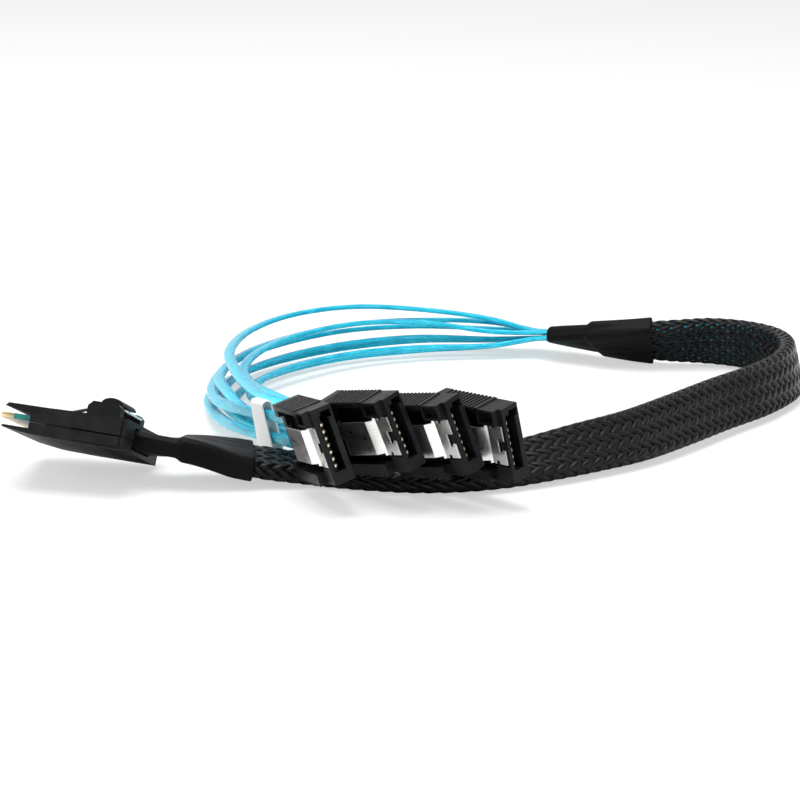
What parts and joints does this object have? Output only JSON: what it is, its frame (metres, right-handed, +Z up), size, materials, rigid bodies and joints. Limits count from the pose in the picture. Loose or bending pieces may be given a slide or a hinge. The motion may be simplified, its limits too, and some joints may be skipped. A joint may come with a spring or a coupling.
{
  "type": "mini sas breakout cable",
  "caption": "Internal drive cable: a wide latching plug on a braided sleeve that fans out into flat blue strips, each pair ending in a small drive connector with a spring latch.",
  "frame": {"origin": "bottom centre of the box round the wide plug and the four small connectors, on the surface the cable lies on", "axes": "+X from the wide plug towards the fourth small connector, +Y towards the back of the cable's loop, +Z up"},
  "size_m": [0.1552, 0.1258, 0.0221],
  "materials": {
    "plug_shell": "fine-grained black moulding",
    "housing": "fine-grained black moulding",
    "wafer": "black moulding with gilt contact fingers",
    "steel": "bright rolled stainless sheet",
    "card": "solder-masked circuit card",
    "strip": "glossy, slightly see-through blue jacket over bright foil",
    "braid": "open black monofilament braid",
    "shrink": "black shrink tube with a soft sheen",
    "label": "plain white paper tape"
  },
  "bodies": {
    "cable": {"sas_lower_shell": "plug_shell", "sas_upper_shell": "plug_shell", "sas_paddle_card": "card", "sata_housing_1": "housing", "sata_housing_2": "housing", "sata_housing_3": "housing", "sata_housing_4": "housing", "sata_wafer_1": "wafer", "sata_wafer_2": "wafer", "sata_wafer_3": "wafer", "sata_wafer_4": "wafer", "strip_1a": "strip", "strip_1b": "strip", "strip_2a": "strip", "strip_2b": "strip", "strip_3a": "strip", "strip_3b": "strip", "strip_4a": "strip", "strip_4b": "strip", "cable_label": "label", "sas_shrink_tube": "shrink", "braided_sleeve": "braid", "breakout_shrink_tube": "shrink"},
    "sas_release": {"sas_release_lever": "steel", "sas_thumb_pad": "plug_shell"},
    "latch_1": {"sata_latch_1": "steel"},
    "latch_2": {"sata_latch_2": "steel"},
    "latch_3": {"sata_latch_3": "steel"},
    "latch_4": {"sata_latch_4": "steel"}
  },
  "joints": [
    {"name": "sas_release_press", "type": "hinge", "parent": "cable", "child": "sas_release", "pos_m": [-0.03454, 0.00741, 0.01141], "axis": [0.1722, 0.8995, -0.4016], "range_deg": [0, 7], "stiffness_Nm_per_rad": 0.06},
    {"name": "latch_1_press", "type": "hinge", "parent": "cable", "child": "latch_1", "pos_m": [0.00972, -0.01468, 0.01182], "axis": [0.3198, -0.05, -0.9462], "range_deg": [0, 6], "stiffness_Nm_per_rad": 0.02},
    {"name": "latch_2_press", "type": "hinge", "parent": "cable", "child": "latch_2", "pos_m": [0.0213, -0.01435, 0.0136], "axis": [0.3508, 0.0272, -0.9361], "range_deg": [0, 6], "stiffness_Nm_per_rad": 0.02},
    {"name": "latch_3_press", "type": "hinge", "parent": "cable", "child": "latch_3", "pos_m": [0.03152, -0.01515, 0.01331], "axis": [0.3303, 0.0425, -0.9429], "range_deg": [0, 6], "stiffness_Nm_per_rad": 0.02},
    {"name": "latch_4_press", "type": "hinge", "parent": "cable", "child": "latch_4", "pos_m": [0.0403, -0.01333, 0.01198], "axis": [0.1862, 0.0946, -0.978], "range_deg": [0, 6], "stiffness_Nm_per_rad": 0.02}
  ]
}
